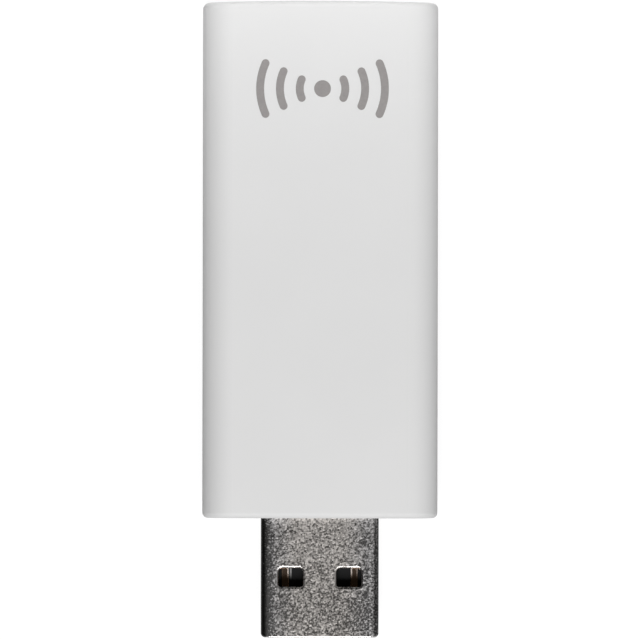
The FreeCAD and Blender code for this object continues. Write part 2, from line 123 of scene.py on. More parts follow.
def blend(tree, factor, first, second):
    """A colour between two colours."""
    made = tree.nodes.new("ShaderNodeMix")
    made.data_type = "RGBA"
    made.inputs["A"].default_value = (*first, 1.0)
    made.inputs["B"].default_value = (*second, 1.0)
    tree.links.new(factor, made.inputs["Factor"])
    return made.outputs["Result"]


# %% [markdown]
# ## The light
# Matt plastic shows how much light a face gets, and metal shows where the light stands. On this
# stick the long sides darken and the plug has dark bands left and right, while every edge that faces
# along the stick is bright. So two soft boxes stand beyond its two ends. The one beyond the plug does
# most of the work, from a touch to the left, because the left side of the housing is the lighter one.
# The one at the far end is weak, low and close, which brightens that end only. A third and weak one
# stands to the right, and lights the left edges of the plug's windows a little.

# %% Soft boxes
def soft_box(name, place, aim, width, height, power):
    """A rectangular lamp at place that faces aim, both in metres."""
    light = bpy.data.lights.new(name, "AREA")
    light.shape = "RECTANGLE"
    light.size, light.size_y = width, height
    light.energy = power
    lamp = bpy.data.objects.new(name, light)
    lamp.location = place
    lamp.rotation_euler = (Vector(place) - Vector(aim)).to_track_quat("Z", "Y").to_euler()
    lamp.visible_camera = False
    bpy.context.scene.collection.objects.link(lamp)
    return lamp


far_box = soft_box("far_end_box", (0, 0.062, 0.024), (0, 0.030, 0.008), 0.13, 0.025, 0.0245)
near_box = soft_box("plug_end_box", (-0.014, -0.216, 0.360), (0, 0, 0.010), 0.13, 0.17, 1.30)
side_box = soft_box("right_side_box", (0.25, -0.26, 0.30), (0, -0.025, 0.005), 0.10, 0.12, 0.12)
print("soft boxes at", [[round(c, 3) for c in lamp.location] for lamp in (far_box, near_box, side_box)])

# %% [markdown]
# The room is a smooth grey: bright above the stick and dark to the left and right, so its brightness
# depends on how far a direction points sideways. A strip of light at its far right shows as a line
# along the fold of the plug. The room's far half is dim, which makes the edges that face that way
# dark on metal. Straight overhead is the dark lens of the camera. Flat metal mirrors it, and only the
# slopes of its grain catch the light around it. Low down the room glows faintly all round.

# %% The grey room
sideways_strength = [(-1.0, 0.02), (-0.4, 0.01), (-0.15, 0.45), (0.1, 0.7), (0.4, 0.8),
                     (0.55, 0.20), (0.75, 0.08), (0.9, 0.45), (1.0, 0.2)]
far_half = (-0.08, 0.15)
far_strength = 0.12
lens_outer, lens_inner = math.radians(22), math.radians(7)
lens_strength = 0.02
low_glow = 0.22
glow_heights = (0.3, 0.6)

room = bpy.data.worlds.new("room")
room.use_nodes = True
bpy.context.scene.world = room
air = room.node_tree
towards = split(air, air.nodes.new("ShaderNodeTexCoord").outputs["Generated"])
ramp = air.nodes.new("ShaderNodeValToRGB")
ramp.color_ramp.interpolation = "B_SPLINE"
while len(ramp.color_ramp.elements) < len(sideways_strength):
    ramp.color_ramp.elements.new(0.5)
for stop, (x, strength) in zip(ramp.color_ramp.elements, sideways_strength):
    stop.position = (x + 1) / 2
    stop.color = (strength, strength, strength, 1.0)
air.links.new(remap(air, towards["X"], (-1.0, 1.0), (0.0, 1.0)), ramp.inputs["Fac"])
far_dimming = remap(air, towards["Y"], far_half, (1.0, far_strength), smooth=True)
lens_edge = (math.cos(lens_outer), math.cos(lens_inner))
lens_dimming = remap(air, towards["Z"], lens_edge, (1.0, lens_strength), smooth=True)
high_up = maths(air, "MULTIPLY", ramp.outputs["Color"], maths(air, "MULTIPLY", far_dimming, lens_dimming))
low_down = remap(air, towards["Z"], glow_heights, (low_glow, 0.0), smooth=True)
air.nodes["Background"].inputs["Color"].default_value = (1.0, 1.0, 1.0, 1.0)
air.links.new(maths(air, "MAXIMUM", high_up, low_down), air.nodes["Background"].inputs["Strength"])
bpy.context.scene.view_settings.view_transform = "Standard"
strengths = [strength for x, strength in sideways_strength]
print("room brightness from", min(strengths), "to", max(strengths))

# %% [markdown]
# ## Tools for finishes
# Every finish below is a Principled shader with a little detail on top: noise at a real size in
# millimetres moves its colour, its roughness and its bumps. The solids all sit at the origin, so
# object coordinates are the frame's own metres, and a grain keeps its size on every piece.

# %% Finish helpers
def new_finish(name, colour, roughness, metallic=0.0):
    """A material with one Principled shader. Colours are linear light, as the shader takes them."""
    finish = bpy.data.materials.new(name)
    finish.use_nodes = True
    shader = finish.node_tree.nodes["Principled BSDF"]
    shader.inputs["Base Color"].default_value = (*colour, 1.0)
    shader.inputs["Roughness"].default_value = roughness
    shader.inputs["Metallic"].default_value = metallic
    return finish, finish.node_tree, shader


def place(tree, kind="Object"):
    """Where a point is: in the frame's metres, or with Generated from 0 to 1 within its piece."""
    return tree.nodes.new("ShaderNodeTexCoord").outputs[kind]


def noise(tree, size, detail=2.0, seed=0.0):
    """Noise whose lumps are about size millimetres across, from 0 to 1."""
    made = tree.nodes.new("ShaderNodeTexNoise")
    made.noise_dimensions = "4D"
    made.inputs["W"].default_value = seed
    made.inputs["Scale"].default_value = 1 / (size * MM)
    made.inputs["Detail"].default_value = detail
    tree.links.new(place(tree), made.inputs["Vector"])
    return made.outputs["Fac"]


def bumps(tree, shader, height, depth, edge_radius=0.0):
    """Raise the surface by height times depth, in millimetres, and soften its edges."""
    made = tree.nodes.new("ShaderNodeBump")
    made.inputs["Distance"].default_value = depth * MM
    tree.links.new(height, made.inputs["Height"])
    if edge_radius:
        edge = tree.nodes.new("ShaderNodeBevel")
        edge.inputs["Radius"].default_value = edge_radius * MM
        tree.links.new(edge.outputs["Normal"], made.inputs["Normal"])
    tree.links.new(made.outputs["Normal"], shader.inputs["Normal"])


def vary(tree, shader, socket, factor, new, old=(0.3, 0.7)):
    """Let noise move one number of the shader over a range."""
    tree.links.new(remap(tree, factor, old, new), shader.inputs[socket])


def mottle(tree, shader, factor, first, second, old=(0.3, 0.7)):
    """Let noise move the shader's colour between two colours."""
    colour = blend(tree, remap(tree, factor, old, (0.0, 1.0)), first, second)
    tree.links.new(colour, shader.inputs["Base Color"])
    return colour


# %% [markdown]
# ## Housing plastic
# The housing is moulded in a light neutral grey-white. The mould is spark eroded, which leaves a
# satin texture about a tenth of a millimetre across: too fine to see as dots, but it spreads the
# shine. The thick plastic also flows unevenly, so its tone drifts by a percent or two over some
# millimetres. The faces turned towards the plug end are painted a little greyer: painted shade that
# holds back the light of the soft box beyond the plug.

# %% The satin housing finish
def housing_plastic():
    """Satin grey-white plastic, with painted shade that makes the faces towards the plug end a little
    greyer.
    """
    clean, end_shade_grey = (0.745, 0.744, 0.743), (0.64, 0.64, 0.64)
    finish, tree, shader = new_finish("housing_plastic", (0.75, 0.75, 0.75), 0.6)
    shader.inputs["Specular IOR Level"].default_value = 0.3
    drift = remap(tree, noise(tree, 9.0), (0.3, 0.7), (0.0, 0.12))
    # Painted shade: faces turned towards the plug end are pulled towards a greyer colour.
    painted_end_shade = remap(tree, split(tree, place(tree, "Normal"))["Y"], (-0.7, -0.05), (0.88, 0.0), smooth=True)
    mottle(tree, shader, maths(tree, "ADD", drift, painted_end_shade), clean, end_shade_grey, old=(0.0, 1.0))
    vary(tree, shader, "Roughness", noise(tree, 0.4, seed=1.0), (0.57, 0.65))
    bumps(tree, shader, noise(tree, 0.12, detail=3.0, seed=2.0), 0.003, edge_radius=0.06)
    return finish


# %% [markdown]
# ## Pebbled nickel
# The plug is steel sheet with a matt nickel coat. Close up it has a lively grain of bright and dark
# pebbles a sixth of a millimetre across. Bumps alone make such grain flicker with the light, so the
# dips also get a darker colour: partly the coat's own mottle, partly painted shade in the dips. The
# tone drifts a little at random too. Over that, light and shade are painted into the coat: painted
# shade from the middle of the plate to the sides, beside the left fold, in a strip on the right and
# towards the mouth, and a cooler tint to the sides as a painted reflection. Painted highlights
# brighten the edge of the mouth, the plate beside the right fold and the left sides of the windows,
# and a painted reflection of the housing's end brightens the plate next to it. The folds and the cut
# edges get painted shade, except on a line along the right fold where the room's strip of light
# shows. One function works out the grain with its painted light and one the painted shade, and the
# finish puts the two together.

# %% The nickel's grain with painted light
def nickel_grain_and_painted_light(tree, pebbles, spot, beside, facing):
    """The grain's pebbles with a random drift, and painted light and shade from place to place.

    Each shift names what it follows, the two places in millimetres that it changes between, what it
    adds at each of them, and whether it eases in and out.
    """
    painted_light_shifts = [
        (beside, (1.5, 5.0), (0.0, -0.045), True),         # painted shade from the middle to the sides
        (spot["X"], (-5.5, -4.4), (-0.19, 0.0), True),     # painted shade beside the left fold
        (spot["X"], (4.2, 4.6), (0.0, -0.035), True),      # a strip of painted shade on the right
        (spot["X"], (4.9, 5.1), (0.0, 0.065), True),       # a painted highlight beside the right fold
        (spot["X"], (5.4, 5.5), (0.0, -0.065), False),     # but not on the fold itself
        (spot["Y"], (-31.0, -23.0), (-0.06, 0.0), True),   # painted shade towards the mouth
        (spot["Y"], (-32.15, -32.0), (0.25, 0.0), False),  # a painted highlight on the edge of the mouth
        (spot["Y"], (-21.4, -20.2), (0.0, 0.08), True),    # a painted reflection of the housing's end, next to it
    ]
    grain_and_painted_light = maths(tree, "ADD", pebbles, remap(tree, noise(tree, 1.6, seed=13.0), (0.3, 0.7), (-0.02, 0.02)))
    for along, (first, last), change, eased in painted_light_shifts:
        painted_light_shift = remap(tree, along, (first * MM, last * MM), change, smooth=eased)
        grain_and_painted_light = maths(tree, "ADD", grain_and_painted_light, painted_light_shift)
    # A painted highlight on the left sides of the windows, between the folds.
    painted_window_highlight = remap(tree, facing["X"], (0.1, 0.3), (0.0, 0.35))
    between_folds = remap(tree, beside, (4.4 * MM, 4.5 * MM), (1.0, 0.0))
    return maths(tree, "ADD", grain_and_painted_light, maths(tree, "MULTIPLY", painted_window_highlight, between_folds))


# %% The painted shade in the folds and on the cut edges
def nickel_painted_shade(tree, beside, facing):
    """How much painted shade the coat gets, from 0 to 1: in the folds, but not on the line along the right
    fold where the room's strip of light shows, and on the cut edges.
    """
    turned = maths(tree, "ABSOLUTE", facing["X"])
    line_starts = remap(tree, facing["X"], (0.40, 0.50), (0.0, 1.0), smooth=True)
    line_ends = remap(tree, facing["X"], (0.60, 0.70), (1.0, 0.0), smooth=True)
    off_line = remap(tree, maths(tree, "MULTIPLY", line_starts, line_ends), (0.0, 1.0), (1.0, 0.1))
    # Painted shade in the folds, where the bends face sideways.
    shade_in_folds = remap(tree, beside, (5.2 * MM, 5.35 * MM), (0.0, 1.0))
    for part in (remap(tree, turned, (0.3, 0.55), (0.0, 0.8)),
                 remap(tree, turned, (0.99, 0.999), (1.0, 0.0)), off_line):
        shade_in_folds = maths(tree, "MULTIPLY", shade_in_folds, part)
    # Painted shade on the cut edges, which face along the plug.
    cut = remap(tree, maths(tree, "ABSOLUTE", facing["Y"]), (0.8, 0.95), (0.0, 0.65))
    return maths(tree, "MAXIMUM", cut, shade_in_folds)


# %% The plug's finish
def vector_maths(tree, operation, first, second, socket):
    """One step of arithmetic on a colour, whose second value goes into the given socket."""
    made = tree.nodes.new("ShaderNodeVectorMath")
    made.operation = operation
    tree.links.new(first, made.inputs[0])
    tree.links.new(second, made.inputs[socket])
    return made.outputs[0]


def plug_nickel():
    """Nickel with pebbles in its bumps and its colour, with painted light and shade: warm in the middle,
    cooler at the sides as a painted reflection.
    """
    finish, tree, shader = new_finish("plug_nickel", (0.45, 0.43, 0.41), 0.2, metallic=1.0)
    pebbles = noise(tree, 0.17, detail=1.2)
    spot = split(tree, place(tree))
    beside = maths(tree, "ABSOLUTE", spot["X"])
    facing = split(tree, place(tree, "Normal"))
    grain_and_painted_light = nickel_grain_and_painted_light(tree, pebbles, spot, beside, facing)
    # The dips of the pebbles are dark: partly the coat's own mottle, partly painted shade in the dips.
    coat_with_painted_light = mottle(tree, shader, grain_and_painted_light, (0.09, 0.085, 0.080), (0.72, 0.681, 0.648), old=(0.345, 0.655))
    # A cooler tint towards the sides: a painted reflection.
    to_the_sides = remap(tree, beside, (2.5 * MM, 4.8 * MM), (0.0, 1.0))
    painted_cool_reflection = blend(tree, to_the_sides, (1, 1, 1), (0.97, 1.0, 1.05))
    # The painted shade of the folds and cut edges darkens the coat.
    outside_painted_shade = maths(tree, "SUBTRACT", 1.0, nickel_painted_shade(tree, beside, facing))
    coat_with_painted_light = vector_maths(tree, "MULTIPLY", coat_with_painted_light, painted_cool_reflection, 1)
    coat_with_painted_light = vector_maths(tree, "SCALE", coat_with_painted_light, outside_painted_shade, "Scale")
    tree.links.new(coat_with_painted_light, shader.inputs["Base Color"])
    vary(tree, shader, "Roughness", noise(tree, 0.5, seed=3.0), (0.26, 0.33))
    bumps(tree, shader, pebbles, 0.014, edge_radius=0.05)
    return finish


# %% [markdown]
# ## What is inside
# The black insulator and the gold contacts can be seen through the plug's windows. The contacts'
# faces are a little worn, and their long edges are sheared bare and pale. Towards the mouth the
# windows' front rims shade the inside, so the pale of the contacts is painted out there as painted
# shade. A pale line on the insulator is a painted highlight along the edge of the left contact's
# channel, painted out towards the mouth in the same way. The board and its parts can't be seen, but
# whoever opens the model finds them finished too.

# %% Moulded blacks and greys
def moulded(name, colour, roughness, grain_size, depth):
    """A dull moulded plastic with a fine grain and a slight drift in tone."""
    finish, tree, shader = new_finish(name, colour, roughness)
    lighter = tuple(channel * 1.25 for channel in colour)
    mottle(tree, shader, noise(tree, 1.5, seed=4.0), colour, lighter)
    vary(tree, shader, "Roughness", noise(tree, grain_size, seed=5.0), (roughness - 0.06, roughness + 0.08))
    bumps(tree, shader, noise(tree, grain_size, detail=3.0, seed=6.0), depth, edge_radius=0.05)
    return finish


# %% Plated and tinned metals
def plated(name, bright, dull, roughness, grain_size, depth):
    """A smooth plated metal that has gone dull in places."""
    finish, tree, shader = new_finish(name, bright, roughness, metallic=1.0)
    mottle(tree, shader, noise(tree, 0.8, detail=4.0, seed=7.0), dull, bright)
    vary(tree, shader, "Roughness", noise(tree, 0.3, seed=8.0), (roughness - 0.05, roughness + 0.1))
    bumps(tree, shader, noise(tree, grain_size, seed=9.0), depth, edge_radius=0.06)
    return finish


# %% Gold contacts
# The painted shade of the windows' front rims runs from full to none between these places, in millimetres
# along the plug.
rim_shade_from, rim_shade_clear = -26.5, -25.6


def out_of_rim_shade(tree, spot):
    """How far a point lies out of the painted shade of the windows' front rims: 0 towards the mouth, 1
    towards the rear of the plug.
    """
    return remap(tree, spot["Y"], (rim_shade_from * MM, rim_shade_clear * MM), (0.0, 1.0), smooth=True)


def contact_gold():
    """A contact is sheared from bright strip: its face is smooth, its long edges are rough and pale.

    On the two outer contacts the edge beside the plug's wall gets painted shade, on the left most, and all
    the paleness is painted out towards the mouth as painted shade.
    """
    gold, pale = (0.62, 0.36, 0.20), (0.80, 0.71, 0.65)
    edge_starts, edge_full = 0.26, 0.34
    face_wear = 0.3
    finish, tree, shader = new_finish("contact_gold", gold, 0.1, metallic=1.0)
    across = split(tree, place(tree, "Generated"))["X"]
    spot = split(tree, place(tree))
    from_middle = maths(tree, "ABSOLUTE", maths(tree, "SUBTRACT", across, 0.5))
    sheared = remap(tree, from_middle, (edge_starts, edge_full), (0.0, 1.0))
    # Painted shade on the outer edges of the two outer contacts, which lie in the shade of the channel.
    left_outer_shade = remap(tree, spot["X"], (-3.6 * MM, -3.4 * MM), (0.4, 1.0))
    right_outer_shade = remap(tree, spot["X"], (3.4 * MM, 3.6 * MM), (1.0, 0.7))
    edges = maths(tree, "MULTIPLY", sheared, maths(tree, "MULTIPLY", left_outer_shade, right_outer_shade))
    paleness_with_painted_shade = maths(tree, "MULTIPLY", maths(tree, "MAXIMUM", edges, face_wear), out_of_rim_shade(tree, spot))
    mottle(tree, shader, paleness_with_painted_shade, gold, pale, old=(0.0, 1.0))
    vary(tree, shader, "Roughness", paleness_with_painted_shade, (0.08, 0.30), old=(0.0, 1.0))
    bumps(tree, shader, noise(tree, 0.4, seed=14.0), 0.0004, edge_radius=0.03)
    return finish


# %% The plug's black insulator
def insulator_plastic():
    """Dull black plastic, with a pale painted highlight along the edge of the left contact's channel."""
    black, glint_colour = (0.0055, 0.0055, 0.006), (0.34, 0.34, 0.335)
    # A painted highlight: a pale line along the edge of the left contact's channel, on upward faces only,
    # faded out by the painted shade towards the mouth.
    glint_place, glint_width = -2.94, 0.06
    finish, tree, shader = new_finish("insulator_plastic", (0.005, 0.005, 0.0055), 0.42)
    shader.inputs["Specular IOR Level"].default_value = 0.15
    spot = split(tree, place(tree))
    off_line = maths(tree, "ABSOLUTE", maths(tree, "SUBTRACT", spot["X"], glint_place * MM))
    on_glint_line = remap(tree, off_line, (glint_width * MM, 2 * glint_width * MM), (1.0, 0.0), smooth=True)
    upward = remap(tree, split(tree, place(tree, "Normal"))["Z"], (0.9, 0.95), (0.0, 1.0))
    painted_glint = maths(tree, "MULTIPLY", maths(tree, "MULTIPLY", on_glint_line, upward), out_of_rim_shade(tree, spot))
    mottle(tree, shader, painted_glint, black, glint_colour, old=(0.0, 1.0))
    vary(tree, shader, "Roughness", noise(tree, 0.15, seed=5.0), (0.36, 0.50))
    bumps(tree, shader, noise(tree, 0.15, detail=3.0, seed=6.0), 0.003, edge_radius=0.05)
    return finish


# %% Circuit board laminate
def board_laminate():
    """Green mask over woven glass: two crossed waves make the weave."""
    finish, tree, shader = new_finish("board_laminate", (0.012, 0.10, 0.035), 0.35)
    weave = []
    for axis in ("X", "Y"):
        wave = tree.nodes.new("ShaderNodeTexWave")
        wave.bands_direction = axis
        wave.inputs["Scale"].default_value = 1 / (1.4 * MM)
        wave.inputs["Distortion"].default_value = 0.6
        tree.links.new(place(tree), wave.inputs["Vector"])
        weave.append(wave.outputs["Fac"])
    cross = maths(tree, "MULTIPLY", *weave)
    mottle(tree, shader, cross, (0.010, 0.085, 0.030), (0.016, 0.125, 0.045), old=(0.0, 1.0))
    bumps(tree, shader, cross, 0.004)
    return finish


# %% Chips with tinned ends
def two_ended(name, body, along):
    """A ceramic chip: its middle has one colour, and both ends are tinned."""
    finish, tree, shader = new_finish(name, body, 0.5)
    middle = maths(tree, "COMPARE", split(tree, place(tree, "Generated"))[along], 0.5, 0.26)
    tree.links.new(blend(tree, middle, (0.62, 0.62, 0.61), body), shader.inputs["Base Color"])
    tree.links.new(remap(tree, middle, (0.0, 1.0), (1.0, 0.0)), shader.inputs["Metallic"])
    tree.links.new(remap(tree, middle, (0.0, 1.0), (0.32, 0.5)), shader.inputs["Roughness"])
    bumps(tree, shader, noise(tree, 0.1, seed=10.0), 0.004, edge_radius=0.04)
    return finish


# %% [markdown]
# ## Dressing the solids
# Each solid names its material slot in the frame's record, so one table from slot to finish dresses
# all of them, and a slot without a finish stops the script.

# %% Finishes by slot
finishes = {
    "housing_plastic": housing_plastic(),
    "plug_nickel": plug_nickel(),
    "insulator_plastic": insulator_plastic(),
    "contact_gold": contact_gold(),
    "board_laminate": board_laminate(),
    "antenna_copper": plated("antenna_copper", (0.66, 0.45, 0.16), (0.50, 0.32, 0.10), 0.3, 0.2, 0.004),
    "shield_tin": plated("shield_tin", (0.62, 0.62, 0.61), (0.48, 0.48, 0.47), 0.28, 0.4, 0.006),
    "chip_plastic": moulded("chip_plastic", (0.018, 0.018, 0.020), 0.5, 0.08, 0.004),
    "capacitor_ceramic": two_ended("capacitor_ceramic", (0.30, 0.19, 0.10), "Y"),
    "resistor_ceramic": two_ended("resistor_ceramic", (0.02, 0.02, 0.023), "Y"),
    "ferrite_ceramic": two_ended("ferrite_ceramic", (0.06, 0.06, 0.063), "Y"),
    "fuse_laminate": two_ended("fuse_laminate", (0.02, 0.10, 0.04), "Y"),
    "crystal_metal": plated("crystal_metal", (0.66, 0.64, 0.60), (0.52, 0.50, 0.47), 0.25, 0.3, 0.003),
}
across_the_stick = {
    "matching_inductor_1": two_ended("inductor_across", (0.06, 0.06, 0.063), "X"),
    "matching_inductor_2": two_ended("inductor_across_2", (0.05, 0.05, 0.06), "X"),
    "matching_capacitor": two_ended("capacitor_across", (0.30, 0.19, 0.10), "X"),
}
slot_of = {part["node"]: part["material_slot"] for part in frame["record"]["subparts"]}
for name, solid in solids.items():
    solid.data.materials.clear()
    solid.data.materials.append(across_the_stick.get(name) or finishes[slot_of[name]])
print(len(finishes) + len(across_the_stick), "finishes on", len(solids), "solids")

# %% [markdown]
# ## The plug's shell
# The shell starts as a flat blank of thin steel. A press punches its outline and its windows, which
# draws the edges over, and then folds it into a flat tube whose two ends meet below in a dovetail.
# Cuts in a solid box would give the same outline with dead sharp edges and a hard line at each bend.
# So the blank is drawn flat, its edges are rolled, and then every point is carried round the folds.

# %% The section of the tube
sheet = 0.3
plug_width = 11.93
bend_length = 1.3
bend_tightness = 2.2
bend_samples, blank_samples = 500, 4000
shell_low, shell_high = [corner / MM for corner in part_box("plug_shell")]
plug_height = shell_high.z - shell_low.z
quarter_turn = math.pi / 2


def tighten(t):
    """A quarter turn that starts gently at t = 0, in a plate, and is tightest at t = 1, at a wall."""
    return quarter_turn * np.clip(t, 0, 1) ** bend_tightness


along_bend = tighten(np.linspace(0, 1, bend_samples))
bend_reach = bend_length * np.cos(along_bend).mean()
bend_drop = bend_length * np.sin(along_bend).mean()
first_bend = plug_width / 2 - bend_reach
second_bend = first_bend + bend_length + plug_height - 2 * bend_drop
half_blank = second_bend + bend_length + first_bend
along_blank = np.linspace(0, half_blank, blank_samples)
turn = (tighten((along_blank - first_bend) / bend_length) + 2 * quarter_turn
        - tighten((second_bend + bend_length - along_blank) / bend_length) - quarter_turn)
step = along_blank[1]
gone_across = np.concatenate([[0], np.cumsum(np.cos(turn))[:-1]]) * step
gone_down = np.concatenate([[0], np.cumsum(np.sin(turn))[:-1]]) * step
print("blank", round(2 * half_blank, 2), "mm wide, folds to", round(2 * gone_across.max(), 3), "by",
      round(gone_down.max(), 3), "mm")


def fold(u, v, depth):
    """Carry a point of the blank, depth below its outer face, to its place in the tube."""
    angle = np.interp(abs(u), along_blank, turn)
    across = np.interp(abs(u), along_blank, gone_across) - depth * math.sin(angle)
    down = np.interp(abs(u), along_blank, gone_down) + depth * math.cos(angle)
    return Vector((math.copysign(across, u), v, shell_high.z - down))


# %% [markdown]
# Every edge of the blank, inside or outside, gets the same treatment: a line of points is moved
# into the sheet and down in the steps of a quarter circle, and the steps are joined by strips of
# faces. The punch draws the windows' edges over further than the outline's. Where they face the
# mouth they flash white, because the light comes from there.

# %% Rolled edges
roll_steps = 6
beyond_roll = 1.08
flat_margin = 0.03
roll_angles = [quarter_turn * i / roll_steps for i in range(roll_steps + 1)]
edge_steps = [(beyond_roll, 0.0)] + [(1 - math.sin(angle), 1 - math.cos(angle)) for angle in roll_angles]


def sheet_side(start, end):
    """The direction into the sheet, square to an edge that has the sheet on its left."""
    edge = end - start
    return Vector((-edge.y, edge.x)).normalized()


def moved_in(line, distance):
    """The closed line moved into the sheet by a distance."""
    moved = []
    for before, point, after in zip(line[-1:] + line[:-1], line, line[1:] + line[:1]):
        first, second = sheet_side(before, point), sheet_side(point, after)
        middle = (first + second).normalized()
        moved.append(point + middle * distance / middle.dot(first))
    return moved


def add_edge(blank, line, roll):
    """Add one closed edge to the blank. Gives its line on the outer face and on the inner face."""
    rows = [[(*spot, -drop * roll) for spot in moved_in(line, share * roll)] for share, drop in edge_steps]
    rows.append([(*spot, flat_margin - sheet) for spot in line])
    rows.append([(*spot, -sheet) for spot in moved_in(line, flat_margin)])
    rows.append([(*spot, -sheet) for spot in moved_in(line, 2 * flat_margin)])
    rows = [[blank.verts.new(spot) for spot in row] for row in rows]
    for upper, lower in zip(rows, rows[1:]):
        for i in range(len(upper)):
            blank.faces.new((upper[i - 1], upper[i], lower[i], lower[i - 1]))
    return [[blank.edges.get((row[i - 1], row[i])) for i in range(len(row))] for row in (rows[0], rows[-1])]


# %% The outlines on the blank
window_size = (2.5, 1.86)
window_corners = (0.2, 0.4)
window_place = (2.95, 6.09)
outline_roll, window_roll, slot_roll = 0.12, 0.22, 0.06
seam_gap = 0.06
key_start, key_length = 8.6, 1.6
key_head, key_neck = 1.1, 0.7
slot_size = (1.2, 1.4)
slot_corners = (0.15, 0.15)
tab_pitch, tab_margin = 2.6, 0.9
tabs_per_side = 2
board_top = 4.35


def rounded_hole(centre, size, radii, steps=6):
    """A hole with round corners, run clockwise so that the sheet is on its left.

    The first radius is for the two corners nearer the mouth, the second for the other two.
    """
    line = []
    for quarter, (sx, sy) in enumerate(((1, -1), (-1, -1), (-1, 1), (1, 1))):
        radius = radii[0] if sy < 0 else radii[1]
        corner = centre + Vector((sx * (size[0] / 2 - radius), sy * (size[1] / 2 - radius)))
        for i in range(steps + 1):
            angle = -(quarter + i / steps) * quarter_turn
            line.append(corner + radius * Vector((math.cos(angle), math.sin(angle))))
    return line


def seam_edge(side):
    """One end of the blank, from the mouth to the rear: one has the key and the other its notch."""
    u = side * (half_blank - seam_gap / 2)
    y_key = shell_low.y + key_start
    return [Vector(spot) for spot in ((u, shell_low.y), (u, y_key), (u - key_head, y_key),
                                      (u - key_neck, y_key + key_length), (u, y_key + key_length),
                                      (u, shell_high.y))]


lower_window = half_blank - window_place[0]
holes = [rounded_hole(Vector((u, shell_low.y + window_place[1])), window_size, window_corners)
         for u in (window_place[0], -window_place[0], lower_window, -lower_window)]
u_slot = first_bend + bend_length + (shell_high.z - bend_drop - board_top - sheet) - slot_size[0] / 2
tab_ys = [shell_high.y - tab_margin - slot_size[1] / 2 - i * tab_pitch for i in range(tabs_per_side)]
holes += [rounded_hole(Vector((side * u_slot, y)), slot_size, slot_corners)
          for side in (-1, 1) for y in tab_ys]
outline = seam_edge(1) + seam_edge(-1)[::-1]
rolls = [outline_roll] + 4 * [window_roll] + 4 * [slot_roll]

# %% Punch the blank
blank = bmesh.new()
sides = [add_edge(blank, line, roll) for line, roll in zip([outline] + holes, rolls)]
for face_edges in zip(*sides):
    bmesh.ops.triangle_fill(blank, use_beauty=True, edges=[edge for line in face_edges for edge in line])
print("blank with", len(holes), "holes and", len(blank.faces), "faces")

# %% [markdown]
# The blank can only bend where it has points, so it is first cut across at close steps within each
# bend. The flat plates need no cuts.

# %% Fold the blank
bend_cuts = 14
for bend_start in (first_bend, second_bend):
    for i in range(bend_cuts + 1):
        for side in (-1, 1):
            u = side * (bend_start + bend_length * i / bend_cuts)
            everything = blank.verts[:] + blank.edges[:] + blank.faces[:]
            bmesh.ops.bisect_plane(blank, geom=everything, plane_co=(u, 0, 0), plane_no=(1, 0, 0), dist=1e-5)
for point in blank.verts:
    point.co = fold(point.co.x, point.co.y, -point.co.z) * MM
bmesh.ops.recalc_face_normals(blank, faces=blank.faces[:])

# %% [markdown]
# Last, the nose of the tube is pressed in a little at its sides, which helps it to find the socket.

# %% Press the nose in
nose_length, nose_inset = 0.45, 0.30
pressed_from, pressed_fully = 4.9, 5.7
nose_cuts = 6

for i in range(1, nose_cuts):
    everything = blank.verts[:] + blank.edges[:] + blank.faces[:]
    cut = (0, (shell_low.y + nose_length * i / nose_cuts) * MM, 0)
    bmesh.ops.bisect_plane(blank, geom=everything, plane_co=cut, plane_no=(0, 1, 0), dist=1e-8)
for point in blank.verts:
    behind = (point.co.y / MM - shell_low.y) / nose_length
    if behind < 1:
        beside = np.clip((abs(point.co.x) / MM - pressed_from) / (pressed_fully - pressed_from), 0, 1)
        point.co.x -= math.copysign(nose_inset * (1 - behind) ** 2 * beside * MM, point.co.x)

# %% [markdown]
# Two tabs on each side are folded out of the walls, to be soldered to the board. The housing hides
# them, so a plain bent strip with its true bend is enough.

# %% Solder tabs
tab_width = 1.4
tab_bend = 0.35
tab_steps = 8


def solder_tab(blank, side, y):
    """A strip that comes down inside the wall's thickness and bends outwards on to the board."""
    wall = plug_width / 2 - sheet
    centre = Vector((wall + sheet + tab_bend, board_top + sheet + tab_bend))
    angles = np.linspace(0, quarter_turn, tab_steps + 1)
    arc = [Vector((-math.cos(angle), -math.sin(angle))) for angle in angles]
    outer = [centre + (tab_bend + sheet) * way for way in arc]
    inner = [centre + tab_bend * way for way in reversed(arc)]
    tip = [Vector((shell_high.x, board_top)), Vector((shell_high.x, board_top + sheet))]
    section = outer + tip + inner
    ends = [[blank.verts.new(Vector((side * spot.x, y + along, spot.y)) * MM) for spot in section]
            for along in (-tab_width / 2, tab_width / 2)]
    for i in range(len(section)):
        blank.faces.new((ends[0][i - 1], ends[0][i], ends[1][i], ends[1][i - 1]))
    for end in ends:
        blank.faces.new(end)


for side in (-1, 1):
    for y in tab_ys:
        solder_tab(blank, side, y)
bmesh.ops.recalc_face_normals(blank, faces=blank.faces[:])

# %% The finished shell
sharp_from = math.radians(40)
shell_mesh = bpy.data.meshes.new("folded_shell")
blank.to_mesh(shell_mesh)
blank.free()
shell_mesh.shade_smooth()
shell_mesh.set_sharp_from_angle(angle=sharp_from)
shell_mesh.materials.append(finishes["plug_nickel"])
folded_shell = bpy.data.objects.new("folded_shell", shell_mesh)
bpy.context.scene.collection.objects.link(folded_shell)
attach(folded_shell, "root")
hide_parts("plug_shell")
print("shell", [round(v / MM, 3) for v in folded_shell.dimensions], "mm,", len(shell_mesh.polygons), "faces")

# %% [markdown]
# ## The print on the front
# A grey mark is pad printed near the far end, a hundredth of a millimetre thick. Here it is a plain
# figure for radio: a dot that sends out waves to both sides. Each wave is a flat band along an arc,
# with a round cap on each end, so its outline is worked out from a radius and an angle.

